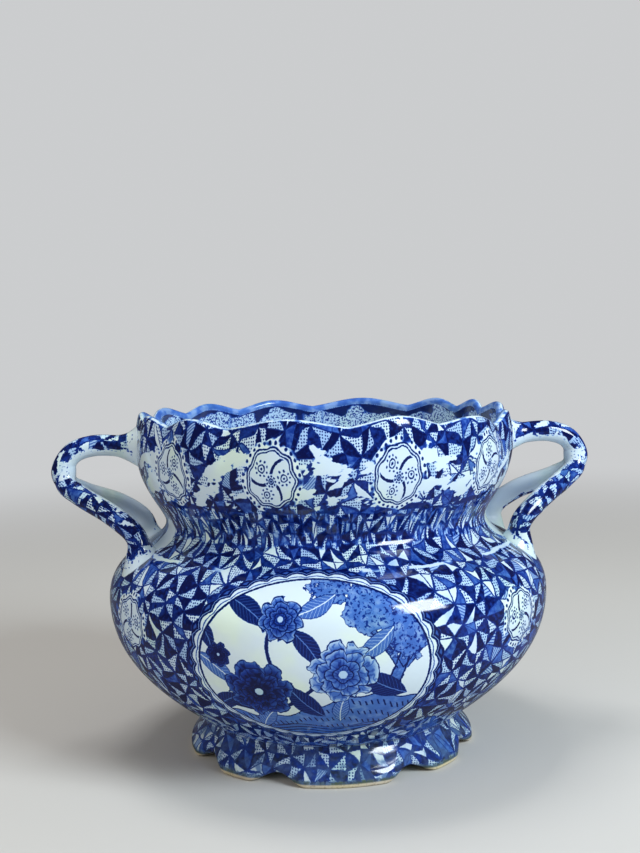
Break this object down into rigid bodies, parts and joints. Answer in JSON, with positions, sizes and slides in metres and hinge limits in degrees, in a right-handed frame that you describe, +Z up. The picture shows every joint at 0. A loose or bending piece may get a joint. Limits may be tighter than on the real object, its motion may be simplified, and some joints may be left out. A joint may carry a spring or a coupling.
{
  "type": "two-handled jardiniere",
  "caption": "Round earthenware jardiniere with a waisted neck, a scalloped rim, a lobed foot ring and a forked handle on each side.",
  "frame": {"origin": "on the pot's axis, on the plane that the foot stands on", "axes": "+Z up along the pot's axis, +X towards the right-hand handle as seen from the front, -Y towards the front, where the large painted panel is"},
  "size_m": [0.3134, 0.2519, 0.1948],
  "materials": {
    "printed_glaze": "gloss",
    "foot_glaze": "gloss",
    "handle_glaze": "gloss"
  },
  "bodies": {
    "root": {"pot_body": "printed_glaze", "foot_ring": "foot_glaze", "right_handle": "handle_glaze", "left_handle": "handle_glaze"}
  },
  "joints": []
}
